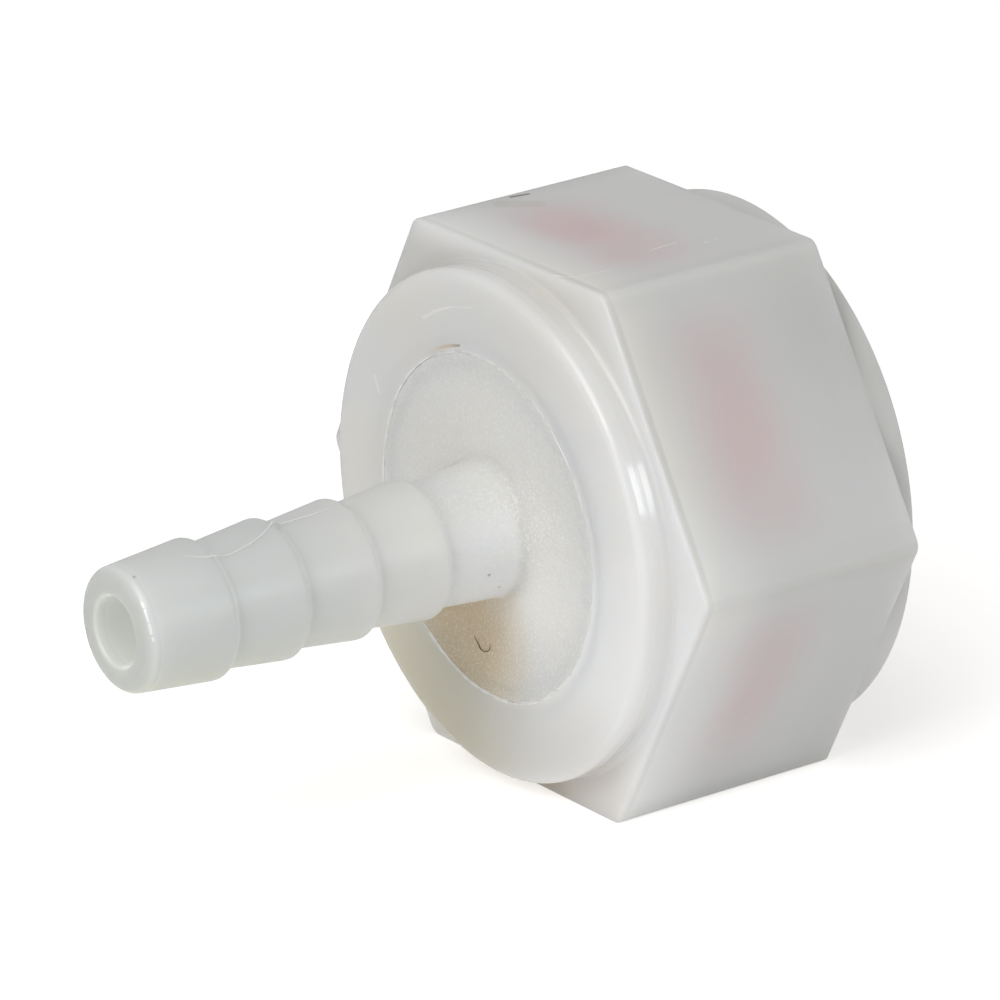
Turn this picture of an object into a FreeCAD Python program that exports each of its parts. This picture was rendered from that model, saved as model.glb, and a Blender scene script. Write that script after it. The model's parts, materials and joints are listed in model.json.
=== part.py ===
"""Swivel hose barb: a hexagonal swivel nut that turns on the hub of a barbed stem, with a flat seal.

Frame: millimetres, +Z up. The origin is the centre of the nut's open mouth, where the hose
thread starts. The fitting's axis is horizontal, its barb points to -X, and the nut lies on one
flat of its hexagon. Every piece is drawn along a station axis that starts at the mouth and runs
towards the tip of the barb, and is then turned half a turn about Z into the frame.
"""
import FreeCAD, Part
import math
import os
import Sketcher

# Driving dimensions, in millimetres. Each row is a name, its value and what it measures.
SIZES = (
    ("thread_minor_diameter", 24.6, "crest diameter of the female hose thread"),
    ("thread_height", 1.3, "radial height of the thread, from its crest to its root"),
    ("thread_lead_in", 1.0, "chamfer at the mouth, on radius and on length"),
    ("nut_wall", 2.275, "wall between the thread root and a flat"),
    ("hex_length", 14.85, "length of the hexagon"),
    ("hex_corner_radius", 0.8, "rounding of the six long edges"),
    ("hex_edge_radius", 0.25, "rounding of the hexagon's edge on the nose side"),
    ("mouth_collar_length", 1.6, "round collar behind the hexagon"),
    ("mouth_collar_inset", 0.03, "how far the mouth collar lies inside the flats"),
    ("nose_collar_length", 2.0, "round collar in front of the hexagon"),
    ("nose_collar_inset", 0.825, "how far the nose collar lies inside the flats"),
    ("nose_collar_fillet", 0.45, "hollow fillet between nose collar and hexagon"),
    ("nose_rim_radius", 0.5, "rounding of the nose collar's rim"),
    ("nose_wall", 3.5, "thickness of the nut's nose, which holds the flange back"),
    ("flange_entry_clearance", 0.2, "radial room for the flange to pass the thread"),
    ("flange_thickness", 2.9, "retaining flange of the stem"),
    ("flange_ledge", 1.91, "how far the flange stands out from the hub"),
    ("hub_running_clearance", 0.06, "radial running fit between hub and nose"),
    ("hub_setback", 0.07, "how far the hub's face lies below the nose"),
    ("hub_edge_break", 0.15, "chamfer around the hub's face"),
    ("hub_wall", 2.7, "wall around the pocket behind the hub"),
    ("hub_end_wall", 2.4, "wall left between the hub's face and its pocket"),
    ("washer_thickness", 3.2, "flat sealing washer"),
    ("washer_width", 5.5, "radial width of the washer's ring"),
    ("washer_clearance", 0.15, "radial room around the washer"),
    ("washer_end_room", 0.25, "length left between the washer and the thread"),
    ("stem_bore", 4.1, "through bore of the stem"),
    ("stem_wall", 1.55, "wall between the bore and the foot of a barb"),
    ("barb_height", 0.54, "height of a barb's shoulder above the foot of the next"),
    ("barb_pitch", 4.8, "distance from one shoulder to the next"),
    ("barb_count", 4, "number of barbs"),
    ("barb_rounding", 0.43, "rounding of each barb's shoulder"),
    ("tip_cone_length", 5.7, "length of the first cone, from the tip to its shoulder"),
    ("tip_rounding", 0.65, "rounding of the tip's outer rim"),
    ("tip_bore_break", 0.2, "chamfer of the bore at the tip"),
    ("root_length", 5.1, "plain root between the hub's face and the last shoulder"),
    ("root_growth", 0.4, "how much thicker the root is at the hub, on radius"),
    ("root_fillet", 0.4, "fillet between the root and the hub's face"),
)

SHEET = "Sizes"
HEX_SIDES = 6
FULL_TURN = 360  # degrees
LARGEST_SHARE = 0.8  # a rounding takes at most this share of the step that it rounds
MATCH = 1e-4  # two lengths closer than this are the same length

# Diameters and radii that follow from the driving dimensions.
THREAD_RADIUS = "Sizes.thread_minor_diameter / 2"
CHAMBER_RADIUS = f"({THREAD_RADIUS} + Sizes.thread_height)"
FLAT_RADIUS = f"({CHAMBER_RADIUS} + Sizes.nut_wall)"
MOUTH_COLLAR_RADIUS = f"({FLAT_RADIUS} - Sizes.mouth_collar_inset)"
NOSE_COLLAR_RADIUS = f"({FLAT_RADIUS} - Sizes.nose_collar_inset)"
FLANGE_RADIUS = f"({THREAD_RADIUS} - Sizes.flange_entry_clearance)"
HUB_RADIUS = f"({FLANGE_RADIUS} - Sizes.flange_ledge)"
WINDOW_RADIUS = f"({HUB_RADIUS} + Sizes.hub_running_clearance)"
POCKET_RADIUS = f"({HUB_RADIUS} - Sizes.hub_wall)"
WASHER_RADIUS = f"({CHAMBER_RADIUS} - Sizes.washer_clearance)"
WASHER_HOLE_RADIUS = f"({WASHER_RADIUS} - Sizes.washer_width)"
BORE_RADIUS = "Sizes.stem_bore / 2"
FOOT_RADIUS = f"({BORE_RADIUS} + Sizes.stem_wall)"
SHOULDER_RADIUS = f"({FOOT_RADIUS} + Sizes.barb_height)"
ROOT_RADIUS = f"({FOOT_RADIUS} + Sizes.root_growth)"

# Stations along the axis, counted from the nut's mouth towards the tip of the barb.
MOUTH = "0"
HEX_REAR = "Sizes.mouth_collar_length"
HEX_FRONT = f"({HEX_REAR} + Sizes.hex_length)"
NOSE_FACE = f"({HEX_FRONT} + Sizes.nose_collar_length)"
NOSE_SEAT = f"({NOSE_FACE} - Sizes.nose_wall)"
FLANGE_BACK = f"({NOSE_SEAT} - Sizes.flange_thickness)"
WASHER_BACK = f"({FLANGE_BACK} - Sizes.washer_thickness)"
THREAD_END = f"({WASHER_BACK} - Sizes.washer_end_room - Sizes.thread_height)"
CHAMBER_START = f"({WASHER_BACK} - Sizes.washer_end_room)"
HUB_FACE = f"({NOSE_FACE} - Sizes.hub_setback)"
POCKET_END = f"({HUB_FACE} - Sizes.hub_end_wall)"
LAST_SHOULDER = f"({HUB_FACE} + Sizes.root_length)"
FIRST_SHOULDER = f"({LAST_SHOULDER} + (Sizes.barb_count - 1) * Sizes.barb_pitch)"
TIP = f"({FIRST_SHOULDER} + Sizes.tip_cone_length)"

doc = FreeCAD.newDocument("swivel_hose_barb")
sheet = doc.addObject("Spreadsheet::Sheet", SHEET)


def fill_sheet():
    """Writes the driving dimensions into the sheet, one row each."""
    for row, (name, value, meaning) in enumerate(SIZES, start=1):
        sheet.set(f"A{row}", meaning)
        sheet.set(f"B{row}", str(value))
        sheet.setAlias(f"B{row}", name)
    doc.recompute()


def length_of(expression):
    """The present length, in millimetres, of an expression in the sheet's names."""
    return float(sheet.evalExpression(expression))


def new_body(name):
    """An empty body that is turned from the station axis into the part's frame."""
    body = doc.addObject("PartDesign::Body", name)
    body.Label = name
    half_turn = FreeCAD.Rotation(FreeCAD.Vector(0, 0, 1), FULL_TURN / 2)
    body.Placement = FreeCAD.Placement(FreeCAD.Vector(0, 0, 0), half_turn)
    doc.recompute()
    return body


def new_sketch(body, name, role, offset=None):
    """A sketch on one of the body's own origin planes, moved along its normal by offset."""
    sketch = body.newObject("Sketcher::SketchObject", name)
    plane = next(item for item in body.Origin.OriginFeatures if item.Role == role)
    sketch.AttachmentSupport = [(plane, "")]
    sketch.MapMode = "FlatFace"
    if offset is not None:
        sketch.setExpression("AttachmentOffset.Base.z", offset)
    return sketch


def pin_point(sketch, kind, axis, geometry, name, expression):
    """Ties one coordinate of a line's start to an expression, or to the axis where it is zero."""
    value = length_of(expression)
    if abs(value) < MATCH:
        sketch.addConstraint(Sketcher.Constraint("PointOnObject", geometry, 1, axis))
        return
    index = sketch.addConstraint(Sketcher.Constraint(kind, -1, 1, geometry, 1, value))
    sketch.renameConstraint(index, name)
    sketch.setExpression(f"Constraints.{name}", expression)


def draw_outline(sketch, corners):
    """Closes an outline through named corners, each with its station and its radius."""
    places = [FreeCAD.Vector(length_of(along), length_of(across), 0) for _, along, across in corners]
    for start, end in zip(places, places[1:] + places[:1]):
        sketch.addGeometry(Part.LineSegment(start, end))
    for line in range(len(corners)):
        following = (line + 1) % len(corners)
        sketch.addConstraint(Sketcher.Constraint("Coincident", line, 2, following, 1))
    for line, (name, along, across) in enumerate(corners):
        pin_point(sketch, "DistanceX", -2, line, f"{name}_station", along)
        pin_point(sketch, "DistanceY", -1, line, f"{name}_radius", across)


def draw_circle(sketch, name, radius):
    """A circle about the fitting's axis."""
    circle = sketch.addGeometry(
        Part.Circle(FreeCAD.Vector(0, 0, 0), FreeCAD.Vector(0, 0, 1), length_of(radius))
    )
    sketch.addConstraint(Sketcher.Constraint("Coincident", circle, 3, -1, 1))
    index = sketch.addConstraint(Sketcher.Constraint("Radius", circle, length_of(radius)))
    sketch.renameConstraint(index, name)
    sketch.setExpression(f"Constraints.{name}", radius)


def draw_hexagon(sketch):
    """A regular hexagon about the axis, with one flat on top and one below."""
    apothem = length_of(FLAT_RADIUS)
    half_side = apothem * math.tan(math.pi / HEX_SIDES)
    upright = FreeCAD.Vector(0, 0, 1)
    corner_circle = sketch.addGeometry(
        Part.Circle(FreeCAD.Vector(0, 0, 0), upright, math.hypot(apothem, half_side)), True
    )
    sketch.addConstraint(Sketcher.Constraint("Coincident", corner_circle, 3, -1, 1))
    first = FreeCAD.Vector(half_side, apothem, 0)
    steps = [FreeCAD.Rotation(upright, FULL_TURN / HEX_SIDES * side) for side in range(HEX_SIDES)]
    corners = [step.multVec(first) for step in steps]
    sides = [
        sketch.addGeometry(Part.LineSegment(start, end))
        for start, end in zip(corners, corners[1:] + corners[:1])
    ]
    for side, following in zip(sides, sides[1:] + sides[:1]):
        sketch.addConstraint(Sketcher.Constraint("Coincident", side, 2, following, 1))
        sketch.addConstraint(Sketcher.Constraint("PointOnObject", side, 1, corner_circle))
    for side in sides[1:]:
        sketch.addConstraint(Sketcher.Constraint("Equal", sides[0], side))
    sketch.addConstraint(Sketcher.Constraint("Horizontal", sides[0]))
    index = sketch.addConstraint(Sketcher.Constraint("DistanceY", -1, 1, sides[0], 1, apothem))
    sketch.renameConstraint(index, "flat_height")
    sketch.setExpression("Constraints.flat_height", FLAT_RADIUS)


def pad(body, name, sketch, length):
    """Raises a sketch along the axis."""
    feature = body.newObject("PartDesign::Pad", name)
    feature.Profile = sketch
    feature.setExpression("Length", length)
    doc.recompute()
    return feature


def turn(body, name, kind, sketch):
    """Turns a sketch a full turn about the fitting's axis, to add or to cut."""
    feature = body.newObject(kind, name)
    feature.Profile = sketch
    feature.ReferenceAxis = (sketch, ["H_Axis"])
    feature.Angle = FULL_TURN
    doc.recompute()
    return feature


def round_edges(body, name, feature, edges, radius):
    """Rounds the named edges of a feature."""
    if not edges:
        raise RuntimeError(f"{name} found no edge to round")
    rounding = body.newObject("PartDesign::Fillet", name)
    rounding.Base = (feature, edges)
    rounding.setExpression("Radius", radius)
    doc.recompute()
    return rounding


def break_edges(body, name, feature, edges, size):
    """Chamfers the named edges of a feature."""
    if not edges:
        raise RuntimeError(f"{name} found no edge to chamfer")
    chamfer = body.newObject("PartDesign::Chamfer", name)
    chamfer.Base = (feature, edges)
    chamfer.setExpression("Size", size)
    doc.recompute()
    return chamfer


def ring_edges(feature, station, radius):
    """The feature's circular edges at one station and of one radius."""
    found = []
    for number, edge in enumerate(feature.Shape.Edges, start=1):
        curve = edge.Curve
        if not isinstance(curve, Part.Circle):
            continue
        same_station = abs(curve.Center.x - length_of(station)) < MATCH
        if same_station and abs(curve.Radius - length_of(radius)) < MATCH:
            found.append(f"Edge{number}")
    return found


def long_edges(feature, start, end):
    """The feature's straight edges that run along the axis from one station to another."""
    found = []
    for number, edge in enumerate(feature.Shape.Edges, start=1):
        stations = sorted(vertex.Point.x for vertex in edge.Vertexes)
        if len(stations) < 2 or not isinstance(edge.Curve, Part.Line):
            continue
        if abs(stations[0] - length_of(start)) < MATCH and abs(stations[1] - length_of(end)) < MATCH:
            found.append(f"Edge{number}")
    return found


def outer_edges_at(feature, station, inner_radius):
    """The feature's edges that lie in the plane of a station, all outside a radius."""
    found = []
    for number, edge in enumerate(feature.Shape.Edges, start=1):
        box = edge.BoundBox
        in_plane = abs(box.XMin - length_of(station)) < MATCH and box.XLength < MATCH
        middle = edge.valueAt((edge.FirstParameter + edge.LastParameter) / 2)
        if in_plane and (middle.y**2 + middle.z**2) ** 0.5 > length_of(inner_radius) + MATCH:
            found.append(f"Edge{number}")
    return found


def make_swivel_nut():
    """The nut: hexagon, mouth collar, nose collar, and the thread, chamber and window inside."""
    body = new_body("swivel_nut")
    hexagon = new_sketch(body, "hexagon", "YZ_Plane", HEX_REAR)
    draw_hexagon(hexagon)
    block = pad(body, "hex_block", hexagon, "Sizes.hex_length")
    corners = long_edges(block, HEX_REAR, HEX_FRONT)
    block = round_edges(body, "hex_corners", block, corners, "Sizes.hex_corner_radius")

    mouth_circle = new_sketch(body, "mouth_circle", "YZ_Plane")
    draw_circle(mouth_circle, "mouth_collar_radius", MOUTH_COLLAR_RADIUS)
    pad(body, "mouth_collar", mouth_circle, "Sizes.mouth_collar_length")

    nose_circle = new_sketch(body, "nose_circle", "YZ_Plane", HEX_FRONT)
    draw_circle(nose_circle, "nose_collar_radius", NOSE_COLLAR_RADIUS)
    outside = pad(body, "nose_collar", nose_circle, "Sizes.nose_collar_length")
    rim = ring_edges(outside, NOSE_FACE, NOSE_COLLAR_RADIUS)
    outside = round_edges(body, "nose_rim", outside, rim, "Sizes.nose_rim_radius")
    foot = ring_edges(outside, HEX_FRONT, NOSE_COLLAR_RADIUS)
    outside = round_edges(body, "nose_fillet", outside, foot, "Sizes.nose_collar_fillet")
    front = outer_edges_at(outside, HEX_FRONT, f"{NOSE_COLLAR_RADIUS} + Sizes.nose_collar_fillet")
    outside = round_edges(body, "hex_front_edge", outside, front, "Sizes.hex_edge_radius")

    inside = new_sketch(body, "inside", "XZ_Plane")
    draw_outline(
        inside,
        (
            ("mouth_centre", MOUTH, "0"),
            ("mouth_edge", MOUTH, f"{THREAD_RADIUS} + Sizes.thread_lead_in"),
            ("thread_start", "Sizes.thread_lead_in", THREAD_RADIUS),
            ("thread_end", THREAD_END, THREAD_RADIUS),
            ("chamber_start", CHAMBER_START, CHAMBER_RADIUS),
            ("chamber_end", NOSE_SEAT, CHAMBER_RADIUS),
            ("seat_edge", NOSE_SEAT, WINDOW_RADIUS),
            ("window_edge", NOSE_FACE, WINDOW_RADIUS),
            ("window_centre", NOSE_FACE, "0"),
        ),
    )
    hollow = turn(body, "hollow", "PartDesign::Groove", inside)
    if hollow.Shape.Volume >= outside.Shape.Volume:
        raise RuntimeError("the hollow cut nothing from the nut")
    return body


def make_barb_stem():
    """The stem: flange, hub, root and barbs around one bore, with a pocket behind the hub."""
    body = new_body("barb_stem")
    barbs = []
    for number in range(round(length_of("Sizes.barb_count"))):
        shoulder = f"({LAST_SHOULDER} + {number} * Sizes.barb_pitch)"
        barbs.append((f"foot_{number}", shoulder, FOOT_RADIUS))
        barbs.append((f"shoulder_{number}", shoulder, SHOULDER_RADIUS))
    profile = new_sketch(body, "profile", "XZ_Plane")
    draw_outline(
        profile,
        (
            ("pocket_edge", FLANGE_BACK, POCKET_RADIUS),
            ("flange_back", FLANGE_BACK, FLANGE_RADIUS),
            ("flange_front", NOSE_SEAT, FLANGE_RADIUS),
            ("hub_foot", NOSE_SEAT, HUB_RADIUS),
            ("hub_edge", HUB_FACE, HUB_RADIUS),
            ("root", HUB_FACE, ROOT_RADIUS),
            *barbs,
            ("tip_edge", TIP, FOOT_RADIUS),
            ("tip_bore", TIP, BORE_RADIUS),
            ("pocket_bore", POCKET_END, BORE_RADIUS),
            ("pocket_end", POCKET_END, POCKET_RADIUS),
        ),
    )
    stem = turn(body, "turned_form", "PartDesign::Revolution", profile)
    shoulders = [
        edge
        for _, station, radius in barbs[1::2]
        for edge in ring_edges(stem, station, radius)
    ]
    shoulder_rounding = f"min(Sizes.barb_rounding; {LARGEST_SHARE} * Sizes.barb_height)"
    stem = round_edges(body, "barb_shoulders", stem, shoulders, shoulder_rounding)
    tip = ring_edges(stem, TIP, FOOT_RADIUS)
    stem = round_edges(body, "tip_rim", stem, tip, "Sizes.tip_rounding")
    root = ring_edges(stem, HUB_FACE, ROOT_RADIUS)
    stem = round_edges(body, "root_fillet", stem, root, "Sizes.root_fillet")
    mouth = ring_edges(stem, TIP, BORE_RADIUS)
    stem = break_edges(body, "bore_mouth", stem, mouth, "Sizes.tip_bore_break")
    rim = ring_edges(stem, HUB_FACE, HUB_RADIUS)
    break_edges(body, "hub_rim", stem, rim, "Sizes.hub_edge_break")
    return body


def make_sealing_washer():
    """The washer: a flat ring that lies against the back of the stem's flange."""
    body = new_body("sealing_washer")
    ring = new_sketch(body, "ring", "YZ_Plane", WASHER_BACK)
    draw_circle(ring, "washer_radius", WASHER_RADIUS)
    draw_circle(ring, "washer_hole_radius", WASHER_HOLE_RADIUS)
    pad(body, "washer_ring", ring, "Sizes.washer_thickness")
    return body


def check_document():
    """Stops if any object of the document failed."""
    for item in doc.Objects:
        if "Invalid" in item.State or "Error" in item.State:
            raise RuntimeError(f"{item.Name} failed: {item.State}")


def write_parts(bodies):
    """Writes each body's solid to its own file, after a look at all of them."""
    for body in bodies:
        shape = body.Shape
        if shape.isNull() or not shape.isValid() or len(shape.Solids) != 1:
            raise RuntimeError(f"{body.Label} is not one valid solid")
    os.makedirs("parts", exist_ok=True)
    for body in bodies:
        body.Shape.exportStep(f"parts/{body.Label}.step")
        print(body.Label, "volume", round(body.Shape.Volume, 2), "mm3", body.Shape.BoundBox)


fill_sheet()
made = [make_swivel_nut(), make_barb_stem(), make_sealing_washer()]
doc.recompute()
check_document()
write_parts(made)
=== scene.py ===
# %% [markdown]
# # A swivel hose barb, dressed for its picture
#
# The object is a small plumbing adaptor of undyed plastic. A hexagonal nut with a garden hose thread
# inside turns freely on a barbed stem, and a red rubber washer sits in the nut. The construction
# model already exists, so it comes in first as a fixed frame. Every piece made later is measured
# against it, and takes the place of the plain solid of the same name.

# %% Load the frame
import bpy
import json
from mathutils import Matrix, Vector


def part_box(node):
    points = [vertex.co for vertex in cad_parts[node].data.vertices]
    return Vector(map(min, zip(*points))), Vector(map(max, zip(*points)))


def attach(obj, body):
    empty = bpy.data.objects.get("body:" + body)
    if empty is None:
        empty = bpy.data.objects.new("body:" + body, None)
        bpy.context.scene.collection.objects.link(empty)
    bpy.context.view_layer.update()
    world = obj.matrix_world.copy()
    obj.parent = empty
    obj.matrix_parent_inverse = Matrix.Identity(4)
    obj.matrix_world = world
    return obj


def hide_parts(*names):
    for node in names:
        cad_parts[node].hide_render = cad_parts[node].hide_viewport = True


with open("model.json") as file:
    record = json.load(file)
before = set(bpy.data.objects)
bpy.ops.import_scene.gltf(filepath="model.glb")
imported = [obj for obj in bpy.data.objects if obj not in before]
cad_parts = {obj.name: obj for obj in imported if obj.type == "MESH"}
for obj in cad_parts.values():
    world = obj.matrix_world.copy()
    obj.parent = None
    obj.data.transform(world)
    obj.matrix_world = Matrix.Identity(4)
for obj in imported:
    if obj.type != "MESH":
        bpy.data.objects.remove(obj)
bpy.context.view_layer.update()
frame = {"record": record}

# %% [markdown]
# ## Sizes
#
# A lathe operator works from two numbers at every corner: how far along the axis it lies, and its
# radius. The same two are used here. A *station* counts millimetres from the nut's open mouth
# towards the tip of the barb, so it is minus the frame's X. Sizes that the frame can tell are read
# from its boxes and mounts, and the rest are named here once.

# %% Sizes from the frame
import json
import math

import bmesh
import bpy
from mathutils import Matrix, Vector, noise

MM = 0.001
nut_low, nut_high = (corner / MM for corner in map(Vector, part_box("swivel_nut")))
stem_low, stem_high = (corner / MM for corner in map(Vector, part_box("barb_stem")))
washer_low, washer_high = (corner / MM for corner in map(Vector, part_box("sealing_washer")))
mounts = {mount["name"]: mount for mount in frame["record"]["mounts"]}

FLAT_RADIUS = nut_high.z
NOSE_FACE = -nut_low.x
FLANGE_RADIUS = stem_high.z
FLANGE_BACK = -stem_high.x
TIP = -stem_low.x
WASHER_RADIUS = washer_high.z
WASHER_STATIONS = (-washer_high.x, -washer_low.x)
THREAD_CREST = mounts["hose_thread"]["dims"]["r_mm"]
BORE_RADIUS = mounts["flow_bore"]["dims"]["r_mm"]
print(f"flats {2 * FLAT_RADIUS:.2f} mm apart, {TIP:.2f} mm from mouth to tip")

# %% [markdown]
# ## Sizes of the mouldings
#
# A toolmaker needs a size for every corner of a mould. The outer ones were measured on the
# photograph through the fitted camera. The inner ones aren't seen there, so they follow the
# construction model, which has room for a garden hose thread and a flange that holds the stem. The
# hub is a hair smaller than the window it turns in, so that the two skins never touch.

# %% Corners of the nut, the stem and the washer, in millimetres
HEX_REAR = 1.6
HEX_FRONT = 16.45
HEX_CORNER = 0.8
HEX_EDGE = 0.22
NOSE_COLLAR = FLAT_RADIUS - 0.825
NOSE_FILLET = 0.45
MOUTH_COLLAR = FLAT_RADIUS - 0.03
NOSE_SEAT = NOSE_FACE - 3.5
CHAMBER_RADIUS = THREAD_CREST + 1.3
CHAMBER_START = WASHER_STATIONS[0] - 0.25
LEAD_IN = 1.0
WINDOW_RADIUS = 10.25
HUB_RADIUS = WINDOW_RADIUS - 0.004
HUB_FACE = NOSE_FACE - 0.07
POCKET_RADIUS = 7.49
POCKET_END = HUB_FACE - 2.4
ROOT_RADIUS = 4.0
FOOT_RADIUS = 3.6
SHOULDER_RADIUS = 4.14
ROOT_LENGTH = 5.1
BARB_PITCH = 4.8
BARB_COUNT = 4
SHOULDERS = [HUB_FACE + ROOT_LENGTH + BARB_PITCH * number for number in range(BARB_COUNT)]
WASHER_WIDTH = 5.5
WASHER_HOLE = WASHER_RADIUS - WASHER_WIDTH
print("barb shoulders at stations", [round(station, 2) for station in SHOULDERS])

# %% [markdown]
# ## The camera
#
# The picture was taken from in front of the barb, a little above it, with a long lens. Turning the
# hexagon's corners, the collars and the barbs into equations for the camera gave the direction, the
# distance and the focal length below. The camera leans by two degrees, which a photographer would
# not notice, so its axes are built by hand here instead of with a tracking constraint.

# %% Place the camera
PICTURE_AZIMUTH = math.radians(-34.692)
PICTURE_ELEVATION = math.radians(20.239)
PICTURE_LEAN = math.radians(-2.019)
PICTURE_DISTANCE = 473.069
PICTURE_SHIFT = (0.849, -1.148)
FOCAL_LENGTH = 299.31

across, lift = math.cos(PICTURE_ELEVATION), math.sin(PICTURE_ELEVATION)
backwards = Vector((math.sin(PICTURE_AZIMUTH) * across, -math.cos(PICTURE_AZIMUTH) * across, lift))
level = Vector((0, 0, 1)).cross(backwards).normalized()
lean = Matrix.Rotation(PICTURE_LEAN, 3, backwards)
rightwards = lean @ level
upwards = lean @ backwards.cross(level)
eye = Vector((-HEX_FRONT, 0, 0)) + backwards * PICTURE_DISTANCE
eye -= rightwards * PICTURE_SHIFT[0] + upwards * PICTURE_SHIFT[1]

camera = bpy.data.objects.new("camera", bpy.data.cameras.new("camera"))
bpy.context.scene.collection.objects.link(camera)
camera.data.lens = FOCAL_LENGTH
camera.data.clip_start = 0.02
camera.data.clip_end = 20
camera.matrix_world = Matrix.Translation(eye * MM) @ Matrix(
    (rightwards, upwards, backwards)
).transposed().to_4x4()
bpy.context.scene.camera = camera
print("camera at", [round(value, 4) for value in camera.location])

# %% [markdown]
# ## A node tree, written as a recipe
#
# All the finishes share a few steps: read the place on the object, make cloudy variation, mark a
# band, a spot or a line, mix colours and raise bumps. This small class names those steps, so that
# each finish further down reads like a recipe. Places come from Object coordinates, which stay with
# the piece when it moves.

# %% The steps of a finish
class Finish:
    """A surface finish, built up step by step in a node tree."""

    def __init__(self, name):
        self.material = bpy.data.materials.new(name)
        self.material.use_nodes = True
        self.material.cycles.emission_sampling = "NONE"
        self.tree = self.material.node_tree
        self.shader = self.tree.nodes["Principled BSDF"]
        self.place = self.add("ShaderNodeTexCoord").outputs["Object"]
        parts = self.add("ShaderNodeSeparateXYZ", self.place).outputs
        self.station = self.math("MULTIPLY", parts["X"], -1 / MM)
        self.y = self.math("MULTIPLY", parts["Y"], 1 / MM)
        self.z = self.math("MULTIPLY", parts["Z"], 1 / MM)
        squares = self.times(self.y, self.y), self.times(self.z, self.z)
        self.radius = self.math("SQRT", self.math("ADD", *squares))
        self.angle = self.math("ARCTAN2", self.z, self.y)
        self.normal = None

    def add(self, kind, *inputs, **settings):
        """Adds a node, with its settings, and fills its inputs in order."""
        node = self.tree.nodes.new(kind)
        for key, value in settings.items():
            setattr(node, key, value)
        for socket, value in zip(node.inputs, inputs):
            self.feed(socket, value)
        return node

    def feed(self, socket, value):
        """Links a socket to another one, or sets its number or colour."""
        if isinstance(value, bpy.types.NodeSocket):
            self.tree.links.new(value, socket)
        else:
            socket.default_value = value

    def math(self, operation, *values):
        """One step of arithmetic."""
        return self.add("ShaderNodeMath", *values, operation=operation).outputs[0]

    def times(self, *values):
        """The product of all the values."""
        product = values[0]
        for value in values[1:]:
            product = self.math("MULTIPLY", product, value)
        return product

    def ramp(self, value, low, high, start=0.0, end=1.0):
        """Goes smoothly from start to end as the value goes from low to high."""
        node = self.add(
            "ShaderNodeMapRange", value, low, high, start, end, interpolation_type="SMOOTHSTEP"
        )
        return node.outputs[0]

    def band(self, value, low, high, soft):
        """1 between low and high, and soft outside them."""
        rise = self.ramp(value, low - soft, low)
        return self.times(rise, self.ramp(value, high, high + soft, 1.0, 0.0))

    def spot(self, centre, reach, soft):
        """1 near a place on the surface, in millimetres, and 0 away from it."""
        gap = self.add("ShaderNodeVectorMath", self.place, Vector(centre) * MM, operation="DISTANCE")
        return self.ramp(gap.outputs["Value"], (reach - soft) * MM, (reach + soft) * MM, 1.0, 0.0)

    def line(self, start, end, width):
        """1 along a straight line between two places, in millimetres, and 0 beside it."""
        start, span = Vector(start) * MM, (Vector(end) - Vector(start)) * MM
        offset = self.add("ShaderNodeVectorMath", self.place, start, operation="SUBTRACT").outputs[0]
        share = span / span.length_squared
        along = self.add("ShaderNodeVectorMath", offset, share, operation="DOT_PRODUCT").outputs[1]
        foot = self.add("ShaderNodeVectorMath", span, operation="SCALE")
        self.feed(foot.inputs["Scale"], self.add("ShaderNodeClamp", along).outputs[0])
        gap = self.add("ShaderNodeVectorMath", offset, foot.outputs[0], operation="DISTANCE")
        return self.ramp(gap.outputs["Value"], 0.3 * width * MM, 0.6 * width * MM, 1.0, 0.0)

    def clouds(self, size, detail=0.0, stretch=(1, 1, 1)):
        """Soft variation whose patches are about as large as the size, in millimetres."""
        place = self.place
        if stretch != (1, 1, 1):
            place = self.add("ShaderNodeVectorMath", place, stretch, operation="MULTIPLY").outputs[0]
        return self.add("ShaderNodeTexNoise", place, 0.0, 1 / (size * MM), detail).outputs[0]

    def mix(self, amount, under, over):
        """The first colour where the amount is 0 and the second where it is 1."""
        node = self.add("ShaderNodeMix", data_type="RGBA")
        for index, value in ((0, amount), (6, under), (7, over)):
            self.feed(node.inputs[index], value)
        return node.outputs[2]

    def coats(self, colour, layers):
        """Lays tints over a colour in order, each given as a mask, a strength and a tint."""
        for mask, strength, tint in layers:
            colour = self.mix(self.times(mask, strength), colour, tint)
        return colour

    def raise_by(self, height, depth):
        """Bumps the surface by a height of 0 to 1, times a depth in millimetres."""
        node = self.add("ShaderNodeBump")
        node.inputs["Distance"].default_value = depth * MM
        self.feed(node.inputs["Height"], height)
        if self.normal is not None:
            self.feed(node.inputs["Normal"], self.normal)
        self.normal = node.outputs[0]

    def glow(self, colour, strength):
        """Adds light that has come through the wall from behind."""
        self.shader.inputs["Emission Color"].default_value = colour
        self.feed(self.shader.inputs["Emission Strength"], strength)

    def finish(self, colour, roughness, scatter=0.0, depth=(1, 1, 1), reach=MM):
        """Sets the shader: its colour, its gloss and how deep light wanders in it, in millimetres."""
        self.feed(self.shader.inputs["Base Color"], colour)
        self.feed(self.shader.inputs["Roughness"], roughness)
        self.shader.inputs["Subsurface Weight"].default_value = scatter
        self.feed(self.shader.inputs["Subsurface Scale"], reach)
        self.shader.inputs["Subsurface Radius"].default_value = depth
        if self.normal is not None:
            self.feed(self.shader.inputs["Normal"], self.normal)
        return self.material


print("steps of a finish:", [step for step in vars(Finish) if not step.startswith("_")])
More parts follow.
